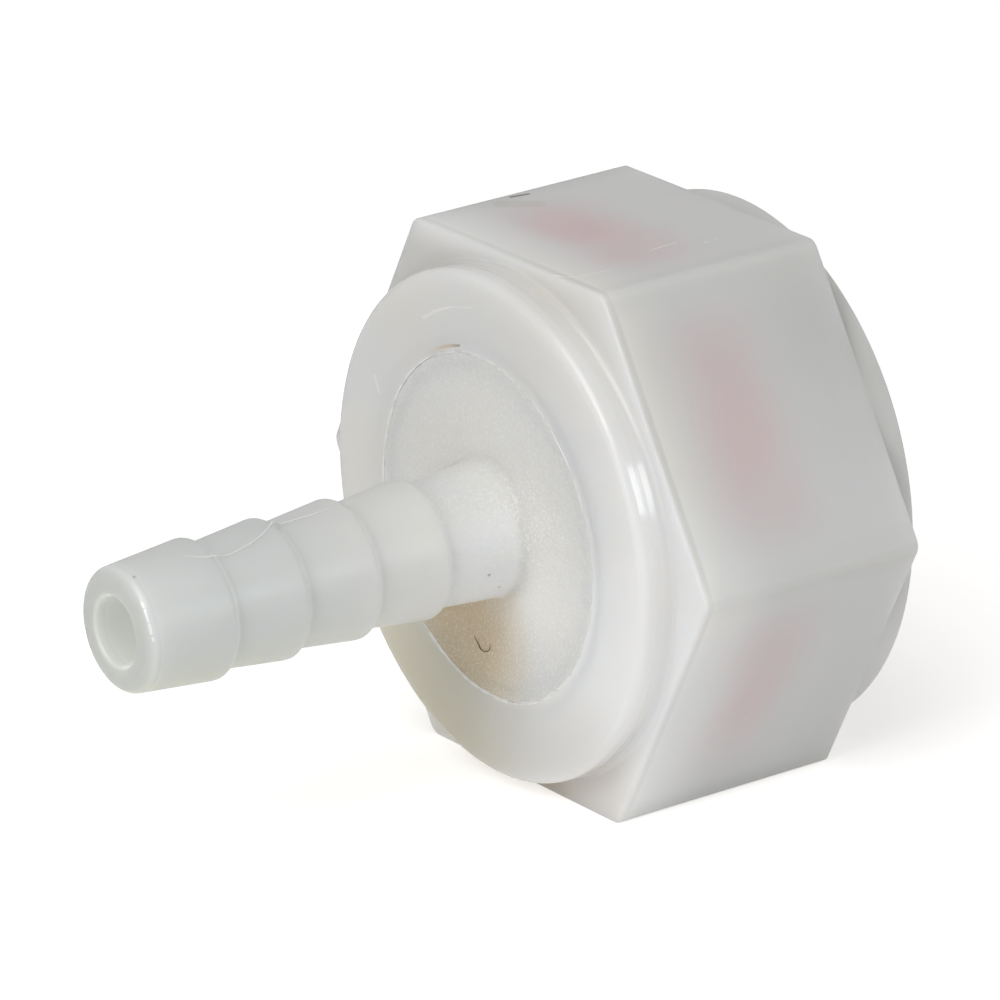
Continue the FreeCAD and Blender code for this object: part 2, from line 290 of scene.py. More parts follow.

# %% [markdown]
# ## The undyed plastic
#
# Undyed nylon or polypropylene looks like milk glass. Light enters, wanders a few millimetres and comes
# out again, so thick places glow and thin walls look grey, with whatever lies behind them showing
# through. Subsurface scattering does this. The plastic's own tone drifts between cooler and warmer, and
# its colours also carry painted light and shade: a glow where the wall is thick, a cool grey shade where
# it is thin, warm shadows low on the front and under the root, and a pink glow where the red washer lies
# behind the wall.

# %% Colours of the plastic
MILK_COOL = (0.78, 0.782, 0.768, 1)
MILK_WARM = (0.80, 0.783, 0.738, 1)
# Painted light: a glow where the wall is thick, and cool light on the right.
PAINTED_GLOW_MILK = (0.90, 0.895, 0.89, 1)
COOL_LIGHT_MILK = (0.86, 0.87, 0.89, 1)
# Painted shade: grey for thin walls and edges.
SHADE_GREY_MILK = (0.70, 0.697, 0.686, 1)
EDGE_SHADE_MILK = (0.60, 0.595, 0.575, 1)
# Painted shade: the thin tube, and its darker underside.
TUBE_SHADE = (0.70, 0.72, 0.71, 1)
TUBE_UNDERSIDE_SHADE = (0.70, 0.71, 0.635, 1)
TIP_MILK = (0.56, 0.58, 0.56, 1)
# The bore's wall is darkened and given a painted glow, and the hexagon's corner a painted glow.
BORE_MILK = (0.35, 0.36, 0.34, 1)
BORE_LIGHT = (0.96, 0.99, 0.93, 1)
CORNER_LIGHT = (1.0, 0.97, 0.90, 1)
# Painted warm shadows: the nose's lower left, the front plane's foot and the hub under the root.
NOSE_WARM_SHADE = (0.745, 0.705, 0.57, 1)
FRONT_FOOT_SHADOW = (0.50, 0.42, 0.33, 1)
ROOT_SHADOW_BROWN = (0.70, 0.57, 0.37, 1)
# White for real scratches on the nut, and for painted sheen, pale shoulder feet and sparkle on the stem.
SCUFF_AND_SHEEN = (0.93, 0.93, 0.92, 1)
RIM_MILK = (0.98, 0.97, 0.94, 1)
# Painted highlight dashes on the tip's rim, partly scuffs.
HIGHLIGHT_AND_SCUFF_WHITE = (0.99, 0.99, 0.99, 1)
# The washer's painted pink glow.
WASHER_GLOW = (0.715, 0.52, 0.53, 1)
RUST = (0.60, 0.36, 0.13, 1)
OLD_RUST = (0.22, 0.12, 0.05, 1)
SOOT = (0.13, 0.10, 0.08, 1)
SMUDGE = (0.36, 0.27, 0.19, 1)
PLASTIC_DEPTH = (2.8, 2.6, 2.3)
print("red, green and blue light wander", PLASTIC_DEPTH, "mm")

# %% [markdown]
# ## Where each tint belongs
#
# A mask is 1 where a tint belongs and 0 elsewhere. Nearly all masks here are products of soft steps
# along the station, the height, the side or the radius, as an airbrush fades between two pieces of
# tape. Their numbers are millimetres on the part. Laying these tones into the colour is steadier than
# waiting for scattered light alone to find them, and the exported model keeps them.

# %% Masks for glow, gap and edges
def washer_glow(finish):
    """Where the red washer's painted pink glow goes: over its stations, in the middle of each flat."""
    along = finish.band(finish.station, WASHER_STATIONS[0] + 1.4, WASHER_STATIONS[1] - 1.4, 4.6)
    thin = finish.ramp(finish.radius, FLAT_RADIUS - 0.2, FLAT_RADIUS + 2.0, 1.0, 0.0)
    patchy = finish.ramp(finish.clouds(4.0), 0.2, 0.6, 0.7, 1.0)
    strong_on_top = finish.ramp(finish.z, 9.0, 15.0, 0.64, 0.92)
    weak_below = finish.ramp(finish.z, -14.0, -7.0, 0.35, 1.0)
    return finish.times(along, thin, patchy, strong_on_top, weak_below)


def lit_rim(finish):
    """Next to the hairline gap between hub and nut, where light from the other piece comes in."""
    near = finish.band(finish.radius, HUB_RADIUS - 0.1, HUB_RADIUS + 0.1, 0.7)
    return finish.times(near, finish.ramp(finish.station, NOSE_SEAT, HUB_FACE - 0.5))


def pale_rim(finish, colour):
    """The colour with the two edges of the hairline gap paler, as light collects in them."""
    edge = finish.band(finish.radius, HUB_RADIUS - 0.06, HUB_RADIUS + 0.06, 0.08)
    in_front = finish.ramp(finish.station, HUB_FACE - 0.5, HUB_FACE - 0.2)
    broken = finish.ramp(finish.clouds(0.7), 0.4, 0.6, 0.15, 0.8)
    return finish.mix(finish.times(edge, in_front, broken), colour, RIM_MILK)


def reach_at_gap(finish):
    """Keeps light from wandering into the hairline gap, which would draw it as a dark line."""
    return finish.math("MULTIPLY_ADD", lit_rim(finish), -0.9 * MM, MM)


def thin_wall_shade(finish):
    """Where the nut's wall is thin, behind its solid front; the colour gets a painted grey shade there.
    """
    return finish.ramp(finish.station, NOSE_SEAT - 3.5, HEX_FRONT, 1.0, 0.0)


def hexagon_edge(finish):
    """The hexagon's corners and front edge, which get a painted grey shade where a thick wall would glow
    too much, and a duller gloss.
    """
    corner = finish.ramp(finish.radius, FLAT_RADIUS + 1.5, FLAT_RADIUS + 2.4, 0.0, 0.4)
    front = finish.band(finish.station, HEX_FRONT - 0.45, HEX_FRONT - 0.12, 0.25)
    outer = finish.ramp(finish.radius, FLAT_RADIUS - 0.6, FLAT_RADIUS - 0.2, 0.0, 0.7)
    return finish.math("MAXIMUM", corner, finish.times(front, outer))


def lit_corner(finish):
    """The hexagon's lower left front corner, which light from behind shines through."""
    low = finish.ramp(finish.z, -8.0, -12.0)
    left = finish.ramp(finish.y, 4.5, 7.5)
    at_edge = finish.band(finish.station, HEX_FRONT - 0.05, HEX_FRONT + 0.1, 0.2)
    return finish.times(low, left, at_edge)


print("washer glow over stations", [round(station, 2) for station in WASHER_STATIONS])

# %% [markdown]
# ## Shades of the nut
#
# All of these are painted light and shade. The nut gets a painted glow where its wall is thick, a painted
# grey shade where it is thin or near an edge, and a painted warm shadow on its lower front. Each shade is
# one row of a list: a mask, a strength and a tint. A list keeps the order plain, which matters because a
# later shade covers an earlier one.

# %% Broad shades of the nut
def wall_shades(finish):
    """Broad painted light and shade of the nut: a mask, a strength and a tint for each, in the order they
    go on.
    """
    ramp, band, times = finish.ramp, finish.band, finish.times
    station, y, z = finish.station, finish.y, finish.z
    at_front = ramp(station, HEX_FRONT - 0.25, HEX_FRONT - 0.05)
    at_nose = ramp(station, HEX_FRONT + 0.1, HEX_FRONT + 0.6)
    front_plane = finish.math("SUBTRACT", at_front, at_nose)
    behind_front = finish.math("SUBTRACT", 1.0, at_front)
    upper_edge = times(ramp(z, 7.0, 13.0), ramp(z, 15.8, 15.3))
    return (
        # The front plane gets a painted shadow at its foot, painted cool light at the right and painted
        # grey shade at the upper left.
        (times(ramp(z, -9.0, -13.5), band(y, -9.0, 3.0, 3.5), front_plane), 0.9, FRONT_FOOT_SHADOW),
        (times(ramp(y, -4.0, -12.0), front_plane), 0.45, COOL_LIGHT_MILK),
        (times(ramp(z, 4.0, 12.0), ramp(y, -5.0, 3.0), front_plane), 0.45, EDGE_SHADE_MILK),
        # The right flat gets a little painted grey shade near its upper edge.
        (times(upper_edge, ramp(y, -6.0, -9.0), behind_front), 0.2, EDGE_SHADE_MILK),
        # The nose gets painted light at the right and painted grey shade at the top.
        (times(ramp(y, -3.0, -13.0), at_nose), 0.7, PAINTED_GLOW_MILK),
        (times(ramp(z, 3.0, 13.0), at_nose), 0.5, SHADE_GREY_MILK),
        # The thick wall near the front gets a painted glow, and the thin rear of the right flat a painted
        # grey shade.
        (times(ramp(z, 8.0, -6.0), ramp(station, 10.0, 14.5), ramp(y, 0.0, -6.0)), 0.5, PAINTED_GLOW_MILK),
        (times(ramp(y, -6.0, -12.0), ramp(station, 10.0, 3.0), ramp(z, 2.0, 12.0)), 0.6, EDGE_SHADE_MILK),
        (times(ramp(station, 11.5, 15.0), ramp(z, 14.0, 15.5), ramp(y, -8.0, 2.0)), 0.4, PAINTED_GLOW_MILK),
        # The nose's foot and the mouth collar get painted grey shade, and the nose's lower left a painted
        # warm shade.
        (times(ramp(z, -6.0, -13.0), at_nose), 0.95, SHADE_GREY_MILK),
        (times(ramp(station, 1.9, 1.3), ramp(z, -6.0, 6.0)), 0.6, EDGE_SHADE_MILK),
        (times(ramp(z, -2.0, -10.0), ramp(y, -6.0, 6.0), at_nose), 0.9, NOSE_WARM_SHADE),
    )


print("shades go over the front plane, the nose, the flats and the collar")

# %% [markdown]
# ## Marks on the nut
#
# Rusty water has left a thin stain that swells along an arc in the nose, just outside the hub. The top
# flat has a few white scratches and a dark smudge near its far edge, and the nose's face has soft
# scuffs. Each mark is a line or an arc between two measured places on the part, with a width in
# millimetres, a strength from 0 to 1 and, where it differs, a tint.

# %% Places of the marks
TOP = FLAT_RADIUS
NOSE_STAINS = (
    ((55, 10.48), (77, 10.62), 0.20, 0.45, RUST),
    ((62, 10.54), (79, 10.63), 0.13, 0.6, RUST),
    ((73, 10.60), (79.5, 10.64), 0.13, 0.85, OLD_RUST),
    ((52, 10.32), (80, 10.34), 0.09, 0.35, OLD_RUST),
)
SCRATCHES = (
    ((-16.40, -4.30, TOP), (-16.15, -5.20, TOP), 0.10, 1.0),
    ((-16.15, -5.20, TOP), (-15.60, -5.66, TOP), 0.08, 1.0),
    ((-15.60, -5.66, TOP), (-13.40, -5.85, TOP), 0.08, 0.8),
    ((-9.67, -4.57, TOP), (-7.72, -4.39, TOP), 0.09, 0.9),
    ((-6.55, -5.44, TOP), (-6.35, -5.50, TOP), 0.10, 1.0),
    ((-5.80, -5.38, TOP), (-5.62, -5.44, TOP), 0.10, 1.0),
    ((-NOSE_FACE, 5.57, 11.18), (-NOSE_FACE, 4.35, 11.90), 0.22, 0.35),
    ((-NOSE_FACE, 4.35, 11.90), (-NOSE_FACE, 2.80, 12.55), 0.16, 0.45),
    ((-NOSE_FACE, 2.80, 12.55), (-NOSE_FACE, 0.70, 13.05), 0.12, 0.25),
    ((-NOSE_FACE, 10.76, 6.30), (-NOSE_FACE, 10.37, 5.38), 0.25, 0.45),
)
SMUDGES = (
    ((-10.09, 8.43, TOP), (-9.03, 8.23, TOP), 0.28, 0.8, SOOT),
    ((-11.20, 7.70, TOP), (-9.77, 6.45, TOP), 1.3, 0.16, SMUDGE),
)
COLLAR_LINE = (17.40, 17.46)


def nose_arc(finish, start, end, width):
    """A thin arc on the nose's face that swells from (degrees, radius) to (degrees, radius)."""
    low, high = math.radians(start[0]), math.radians(end[0])
    share = finish.math("DIVIDE", finish.math("SUBTRACT", finish.angle, low), high - low)
    middle = finish.math("MULTIPLY_ADD", share, end[1] - start[1], start[1])
    gap = finish.math("ABSOLUTE", finish.math("SUBTRACT", finish.radius, middle))
    half = finish.math("MULTIPLY_ADD", share, -0.5 * width, width)
    across = finish.ramp(finish.math("DIVIDE", gap, half), 0.4, 1.4, 1.0, 0.0)
    along = finish.times(finish.ramp(share, 0.0, 0.8), finish.ramp(share, 0.97, 1.03, 1.0, 0.0))
    on_face = finish.ramp(finish.station, NOSE_FACE - 0.3, NOSE_FACE - 0.1)
    return finish.times(across, along, on_face)


print("stains:", len(NOSE_STAINS), "scratches:", len(SCRATCHES), "smudges:", len(SMUDGES))

# %% [markdown]
# ## The nut's finish
#
# The layers go on in the order a painter would use: the milky ground, the painted grey shade of thin
# walls and edges, the washer's painted pink glow, the stains, the broad painted light and shade, the
# smudges and last the white scratches.
# Two shallow bumps follow: the gentle waviness of a moulded skin, and a fine line round the collar
# that splits its bright streak in two. The flats are satin and the nose is glossier.

# %% The nut's plastic
FLAT_GLOSS = (0.29, 0.36)
NOSE_EXTRA_GLOSS = 0.2
EDGE_DULLNESS = 0.45
CORNER_GLOW = 0.12


def nut_plastic():
    """Milky plastic with painted light and shade, the washer's painted pink glow, a rusty stain in the
    nose and a satin skin.
    """
    finish = Finish("nut_milky_plastic")
    edge = hexagon_edge(finish)
    colour = finish.mix(finish.ramp(finish.clouds(9.0), 0.35, 0.65), MILK_COOL, MILK_WARM)
    # Painted grey shade of thin walls and edges.
    colour = finish.mix(thin_wall_shade(finish), colour, SHADE_GREY_MILK)
    colour = finish.mix(edge, colour, EDGE_SHADE_MILK)
    # The washer's painted pink glow.
    colour = finish.mix(washer_glow(finish), colour, WASHER_GLOW)
    stains = [(nose_arc(finish, *arc), strength, tint) for *arc, strength, tint in NOSE_STAINS]
    smudges = [(finish.line(*ends), strength, tint) for *ends, strength, tint in SMUDGES]
    colour = finish.coats(colour, (*stains, *wall_shades(finish), *smudges))
    scuffs = None
    for *ends, strength in SCRATCHES:
        scratch = finish.times(finish.line(*ends), strength)
        scuffs = scratch if scuffs is None else finish.math("MAXIMUM", scuffs, scratch)
    colour = pale_rim(finish, finish.mix(scuffs, colour, SCUFF_AND_SHEEN))
    finish.glow(CORNER_LIGHT, finish.times(lit_corner(finish), CORNER_GLOW))
    finish.raise_by(finish.clouds(6.0), 0.06)
    finish.raise_by(finish.band(finish.station, *COLLAR_LINE, 0.1), 0.02)
    nose = finish.ramp(finish.station, HEX_FRONT + 0.04, HEX_FRONT + 0.2)
    roughness = finish.ramp(finish.clouds(3.0), 0.3, 0.7, *FLAT_GLOSS)
    roughness = finish.math("SUBTRACT", roughness, finish.times(nose, NOSE_EXTRA_GLOSS))
    roughness = finish.math("ADD", roughness, finish.times(edge, EDGE_DULLNESS))
    return finish.finish(colour, roughness, 1.0, PLASTIC_DEPTH, reach_at_gap(finish))


NUT_PLASTIC = nut_plastic()
print("nut finish nodes:", len(NUT_PLASTIC.node_tree.nodes))

# %% [markdown]
# ## The stem's finish
#
# The stem is the same plastic, but its surface isn't the same all over. The barbs are smooth, while the
# root and the hub's face are frosted with fine grains that carry a painted sparkle. The tube gets a
# cooler painted shade where its wall is thin, and the hub under the root a painted brown shadow. Light
# that enters the tube comes out again in the bore, which is therefore given a faint painted glow of its
# own. A few dark specks and painted highlight dashes on the tip's rim, partly scuffs, finish it.

# %% Places of the stem's marks
# Painted highlight dashes on the tip's rim, partly scuffs.
TIP_HIGHLIGHTS_AND_SCUFFS = (
    ((43.32, 137, 3.50), (43.32, 141, 3.50), 0.16),
    ((43.32, 144, 3.50), (43.32, 155, 3.50), 0.15),
    ((43.32, 158, 3.50), (43.33, 166, 3.50), 0.17),
    ((43.30, 170, 3.51), (43.28, 173, 3.52), 0.14),
)
STEM_SPECKS = (
    (20.86, -161.5, 0.10),
    (19.83, -143.1, 0.11),
    (19.84, -151.0, 0.07),
    (19.53, -133.8, 0.06),
    (18.60, 173.5, 0.09),
    (37.43, 117.9, 0.12),
    (42.92, 110.0, 0.16),
    (34.42, -164.7, 0.14),
)
SPECK_RADIUS = (ROOT_RADIUS + FOOT_RADIUS) / 2
# Centre of the painted sparkle on the hub, next to the root.
SPARKLE_SPOT = (-HUB_FACE - 0.3, -4.7, 1.6)
# Centre of the painted brown shadow under the root.
ROOT_SHADOW_SPOT = (-HUB_FACE, 2.9, -7.1)
SPARK_SIZE = 0.16
BORE_GLOW = 0.31


def on_stem(station, angle, radius):
    """A point of the fitting from its station, its angle from +Y towards +Z, and its radius."""
    turn = math.radians(angle)
    return Vector((-station, radius * math.cos(turn), radius * math.sin(turn)))


print("specks:", len(STEM_SPECKS), "dashes on the tip's rim:", len(TIP_HIGHLIGHTS_AND_SCUFFS))

# %% [markdown]
# ## Shades of the stem
#
# The same kind of list serves the stem. Its first rows tint whole stretches: the tube with a painted
# shade, darker on its underside, the tip's face and the bore. The later ones are the shoulders' feet
# painted pale against the shade in their creases, a painted grey shade low on the hub, the painted brown
# shadow under the root, a painted sheen on the root, the frost grains with their painted sparkle, and the
# specks. The barbs are evenly spaced, so a ping-pong of the distance along the stem finds all the
# shoulders at once.

# %% Broad shades of the stem
def in_bore(finish):
    """The wall of the bore near its mouth, fading out further in."""
    inside = finish.ramp(finish.radius, BORE_RADIUS + 0.02, BORE_RADIUS + 0.22, 1.0, 0.0)
    return finish.times(inside, finish.ramp(finish.station, TIP - 12.0, TIP - 5.0))


def stem_shades(finish, bore, on_hub, frosted):
    """Shades and marks of the stem: a mask, a strength and a tint for each, in order."""
    ramp, band, times = finish.ramp, finish.band, finish.times
    station, y, z = finish.station, finish.y, finish.z
    tube = ramp(station, SHOULDERS[0] - 1.0, SHOULDERS[3])
    past_first = finish.math("SUBTRACT", station, SHOULDERS[0])
    beside_shoulder = finish.math("PINGPONG", past_first, BARB_PITCH / 2)
    on_barbs = band(station, SHOULDERS[0] - 0.6, TIP - 2.0, 0.2)
    root = band(station, HUB_FACE + 0.8, SHOULDERS[0] - 0.3, 0.6)
    root_sheen = times(root, ramp(y, 0.0, -3.0), ramp(z, 3.4, 1.0))
    sparks = ramp(finish.clouds(SPARK_SIZE, 1.0), 0.52, 0.66)
    sparkle_zone = finish.math("MULTIPLY_ADD", finish.spot(SPARKLE_SPOT, 2.2, 2.0), 0.5, 0.35)
    shades = [
        # The tube gets a painted shade where its wall is thin, darker on its underside.
        (tube, 1.0, TUBE_SHADE),
        (times(ramp(z, -0.5, -3.5), tube), 1.0, TUBE_UNDERSIDE_SHADE),
        (ramp(station, TIP - 0.4, TIP), 0.85, TIP_MILK),
        (bore, 1.0, BORE_MILK),
        # The shoulders' feet are painted pale against the shade in their creases.
        (times(ramp(beside_shoulder, 0.05, 0.35, 1.0, 0.0), on_barbs), 0.85, SCUFF_AND_SHEEN),
        # A painted grey shade low on the hub, and the painted brown shadow under the root.
        (times(ramp(z, -3.0, -8.0), on_hub), 0.7, SHADE_GREY_MILK),
        (times(finish.spot(ROOT_SHADOW_SPOT, 5.0, 3.2), on_hub), 1.0, ROOT_SHADOW_BROWN),
        # A painted sheen on the root's right side, and frost grains with painted sparkle.
        (root_sheen, 0.7, SCUFF_AND_SHEEN),
        (times(sparks, sparkle_zone, frosted), 1.0, SCUFF_AND_SHEEN),
    ]
    for place, angle, size in STEM_SPECKS:
        speck = finish.spot(on_stem(place, angle, SPECK_RADIUS), size, 0.05)
        shades.append((speck, 0.5, SOOT))
    return shades


print("shades go over the tube, the tip, the bore, the shoulders, the hub and the root")

# %% [markdown]
# ## Gloss and grain of the stem
#
# With the shades in place, two bumps and the gloss are left. The first bump is a gentle waviness all
# over. The second is fine grains, some of them drawn out along the stem, which frost the root and the
# hub's face. The barbs stay smooth, and the tip's rim is glossier still.

# %% The stem's plastic
def stem_plastic():
    """Milky plastic, glossy on the barbs and frosted on the root and the hub's face."""
    finish = Finish("stem_milky_plastic")
    on_hub = finish.band(finish.station, HUB_FACE - 0.2, HUB_FACE, 0.5)
    frosted = finish.ramp(finish.station, SHOULDERS[0] - 0.1, SHOULDERS[0] + 0.1, 1.0, 0.0)
    bore = in_bore(finish)
    colour = finish.mix(finish.clouds(5.0), MILK_COOL, MILK_WARM)
    colour = finish.coats(colour, stem_shades(finish, bore, on_hub, frosted))
    colour = pale_rim(finish, colour)
    # Painted highlight dashes on the tip's rim, partly scuffs.
    for start, end, width in TIP_HIGHLIGHTS_AND_SCUFFS:
        dash = finish.line(on_stem(*start), on_stem(*end), width)
        colour = finish.mix(finish.times(dash, 0.75), colour, HIGHLIGHT_AND_SCUFF_WHITE)
    finish.glow(BORE_LIGHT, finish.times(bore, BORE_GLOW))
    finish.raise_by(finish.clouds(4.0), 0.08)
    grains = finish.math("ADD", finish.clouds(0.2, 1.0), finish.clouds(0.25, 0.0, (0.2, 1, 1)))
    finish.raise_by(finish.times(grains, frosted), 0.05)
    roughness = finish.ramp(finish.clouds(1.5), 0.3, 0.7, 0.19, 0.26)
    roughness = finish.math("ADD", roughness, finish.math("MULTIPLY_ADD", on_hub, 0.10, 0.12))
    tip_rim = finish.ramp(finish.station, TIP - 0.75, TIP - 0.65)
    roughness = finish.math("SUBTRACT", roughness, finish.times(tip_rim, 0.2))
    return finish.finish(colour, roughness, 1.0, PLASTIC_DEPTH, reach_at_gap(finish))


STEM_PLASTIC = stem_plastic()
print("stem finish nodes:", len(STEM_PLASTIC.node_tree.nodes))

# %% [markdown]
# ## Rubber, thin plastic and fibre
#
# The washer is dull red rubber with a fine grain. The fins and burrs are the same milky plastic, but so
# thin that light hardly wanders in them, so they are plain, glossy and nearly white, with a faint painted
# glow. The fibre is dull and brown, with paler stretches where it catches the light.

# %% The three small finishes
def washer_rubber():
    """Dull red rubber with a fine grain."""
    finish = Finish("red_rubber")
    colour = finish.mix(finish.clouds(1.2), (0.52, 0.07, 0.06, 1), (0.42, 0.05, 0.05, 1))
    finish.raise_by(finish.clouds(0.3), 0.03)
    return finish.finish(colour, finish.ramp(finish.clouds(0.8), 0.3, 0.7, 0.6, 0.75))


def thin_plastic():
    """Milky plastic where it is only a fin or a burr, with a faint painted glow."""
    finish = Finish("thin_milky_plastic")
    colour = finish.mix(finish.clouds(0.5), (0.86, 0.855, 0.83, 1), (0.97, 0.96, 0.93, 1))
    finish.glow((1.0, 0.99, 0.96, 1), 0.05)
    return finish.finish(colour, finish.ramp(finish.clouds(0.4), 0.3, 0.7, 0.15, 0.25))


def dark_fibre():
    """A brown fibre, dull, with paler stretches."""
    finish = Finish("dark_fibre")
    colour = finish.mix(finish.clouds(0.4), (0.10, 0.08, 0.055, 1), (0.28, 0.23, 0.17, 1))
    return finish.finish(colour, 0.7)


RUBBER, THIN_PLASTIC, FIBRE = washer_rubber(), thin_plastic(), dark_fibre()
print("finishes:", [material.name for material in bpy.data.materials])

# %% [markdown]
# ## Turning a profile
#
# The stem, the washer and most of the nut are round, as if they came off a lathe. A wire through the
# corners of half a section is drawn first. Its corners are rounded with a vertex bevel, and the wire
# is spun a full turn about the axis. Rounding the wire instead of the solid keeps every ring clean.

# %% Wire, lathe and finished piece
RING_STEPS = 240
ROUND_STEPS = 6
WELD = 1e-4
SHARP = math.radians(38)


def draw_wire(bm, corners, closed=False):
    """Joins (station, radius, rounding) corners by edges and rounds them."""
    places = [Vector((-station, 0, radius)) for station, radius, _ in corners]
    verts = [bm.verts.new(place) for place in places]
    for start, end in zip(verts, verts[1:] + verts[:1] * closed):
        bm.edges.new((start, end))
    for index, (_, _, rounding) in enumerate(corners):
        if not rounding:
            continue
        before, here, after = places[index - 1], places[index], places[(index + 1) % len(places)]
        turn = (here - before).angle(after - here)
        bmesh.ops.bevel(
            bm,
            geom=[verts[index]],
            offset=rounding * math.tan(turn / 2),
            offset_type="OFFSET",
            segments=ROUND_STEPS,
            profile=0.5,
            affect="VERTICES",
            material=-1,
        )


def spin_wire(bm):
    """Spins everything in a bmesh a full turn about the axis."""
    bmesh.ops.spin(
        bm,
        geom=bm.verts[:] + bm.edges[:],
        cent=(0, 0, 0),
        axis=(1, 0, 0),
        angle=math.tau,
        steps=RING_STEPS,
        use_merge=True,
    )
    bmesh.ops.remove_doubles(bm, verts=bm.verts, dist=WELD)


def make_piece(bm, name, material, body):
    """Turns a bmesh in millimetres into a finished piece that rides on a body."""
    bmesh.ops.remove_doubles(bm, verts=bm.verts, dist=WELD)
    bmesh.ops.recalc_face_normals(bm, faces=bm.faces)
    for face in bm.faces:
        face.smooth = True
    for edge in bm.edges:
        edge.smooth = not edge.is_manifold or edge.calc_face_angle() < SHARP
    bmesh.ops.scale(bm, vec=(MM, MM, MM), verts=bm.verts)
    mesh = bpy.data.meshes.new(name)
    bm.to_mesh(mesh)
    bm.free()
    mesh.materials.append(material)
    piece = bpy.data.objects.new(name, mesh)
    bpy.context.scene.collection.objects.link(piece)
    even = piece.modifiers.new("even_normals", "WEIGHTED_NORMAL")
    even.keep_sharp = True
    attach(piece, body)
    return piece


print("a full turn has", RING_STEPS, "steps, and a rounded corner has", ROUND_STEPS)

# %% [markdown]
# ## The stem
#
# On the real part this is one moulding: a retaining flange and a hub at the back, a short plain root,
# and four barbs, each a cone that a hose slides over and a shoulder that holds it. The bore runs
# right through and opens into a pocket behind the hub, so that no wall is too thick to cool evenly.
# One closed profile holds all of it.

# %% Turn the stem
barb_corners = []
for station in SHOULDERS:
    barb_corners.append((station, FOOT_RADIUS, 0.1))
    barb_corners.append((station, SHOULDER_RADIUS, 0.43))

stem_mesh = bmesh.new()
draw_wire(
    stem_mesh,
    (
        (FLANGE_BACK, POCKET_RADIUS, 0.2),
        (FLANGE_BACK, FLANGE_RADIUS, 0.3),
        (NOSE_SEAT, FLANGE_RADIUS, 0.2),
        (NOSE_SEAT, HUB_RADIUS, 0),
        (HUB_FACE, HUB_RADIUS, 0.02),
        (HUB_FACE, ROOT_RADIUS, 0.4),
        *barb_corners,
        (TIP, FOOT_RADIUS, 0.65),
        (TIP, BORE_RADIUS, 0.2),
        (POCKET_END, BORE_RADIUS, 0.2),
        (POCKET_END, POCKET_RADIUS, 0.6),
    ),
    closed=True,
)
spin_wire(stem_mesh)
stem = make_piece(stem_mesh, "stem_moulding", STEM_PLASTIC, "stem")
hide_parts("barb_stem")
print("stem faces:", len(stem.data.polygons))

# %% [markdown]
# ## The nut's outside and chamber
#
# The nut is also one moulding. Its round parts, from the nose collar over the window and the chamber
# back to the mouth collar, are one open profile, spun like the stem. The hexagon is drawn as a
# circle of six segments, rounded at its corners, cut into as many edges as the rings have, and
# extruded. Bridging the rings' two open ends to the hexagon's two open ends closes the shell.

# %% Turn the round parts and bridge them to the hexagon
CORNER_STEPS = 6
EDGE_STEPS = 3
FLAT_STEPS = RING_STEPS // 6 - CORNER_STEPS


def nut_rings(bm):
    """The nut's round surfaces, from the hexagon's front plane round to its rear plane."""
    draw_wire(
        bm,
        (
            (HEX_FRONT, NOSE_COLLAR + NOSE_FILLET + 0.01, 0),
            (HEX_FRONT, NOSE_COLLAR, NOSE_FILLET),
            (NOSE_FACE, NOSE_COLLAR, 0.5),
            (NOSE_FACE, WINDOW_RADIUS, 0.02),
            (NOSE_SEAT, WINDOW_RADIUS, 0.05),
            (NOSE_SEAT, CHAMBER_RADIUS, 0.3),
            (CHAMBER_START, CHAMBER_RADIUS, 0),
            (CHAMBER_START - (CHAMBER_RADIUS - THREAD_CREST), THREAD_CREST, 0),
            (LEAD_IN, THREAD_CREST, 0),
            (0, THREAD_CREST + LEAD_IN, 0.1),
            (0, MOUTH_COLLAR, 0.25),
            (HEX_REAR, MOUTH_COLLAR, 0),
        ),
    )
    spin_wire(bm)


def push_ring(bm, edges, size, along):
    """Extrudes a ring of edges along the axis and scales it about the axis."""
    made = bmesh.ops.extrude_edge_only(bm, edges=edges)["geom"]
    moved = [part for part in made if isinstance(part, bmesh.types.BMVert)]
    bmesh.ops.scale(bm, verts=moved, vec=(1, size, size))
    bmesh.ops.translate(bm, verts=moved, vec=(along, 0, 0))
    return [part for part in made if isinstance(part, bmesh.types.BMEdge)]


def add_hexagon(bm):
    """The hexagon's six flats and rounded corners, open at both ends."""
    upright = Matrix.Rotation(math.radians(90), 4, "Y")
    place = Matrix.Translation((-HEX_REAR, 0, 0)) @ upright
    corner_radius = FLAT_RADIUS / math.cos(math.pi / 6)
    ring = bmesh.ops.create_circle(bm, radius=corner_radius, segments=6, matrix=place)["verts"]
    bmesh.ops.bevel(
        bm,
        geom=ring,
        offset=HEX_CORNER * math.tan(math.pi / 6),
        offset_type="OFFSET",
        segments=CORNER_STEPS,
        profile=0.5,
        affect="VERTICES",
        material=-1,
    )
    flats = [edge for edge in bm.edges if edge.is_wire and edge.calc_length() > FLAT_RADIUS / 2]
    bmesh.ops.subdivide_edges(bm, edges=flats, cuts=FLAT_STEPS - 1)
    outline = [edge for edge in bm.edges if edge.is_wire]
    front = push_ring(bm, outline, 1, HEX_REAR - HEX_FRONT + HEX_EDGE)
    size_before, along_before = 1, 0
    for step in range(1, EDGE_STEPS + 1):
        turn = math.radians(90 * step / EDGE_STEPS)
        size = 1 - HEX_EDGE * (1 - math.cos(turn)) / FLAT_RADIUS
        along = HEX_EDGE * math.sin(turn)
        front = push_ring(bm, front, size / size_before, along_before - along)
        size_before, along_before = size, along


def open_edges(bm, station):
    """The open edges that lie in the plane of one station."""
    return [
        edge
        for edge in bm.edges
        if edge.is_boundary and all(abs(vert.co.x + station) < WELD for vert in edge.verts)
    ]


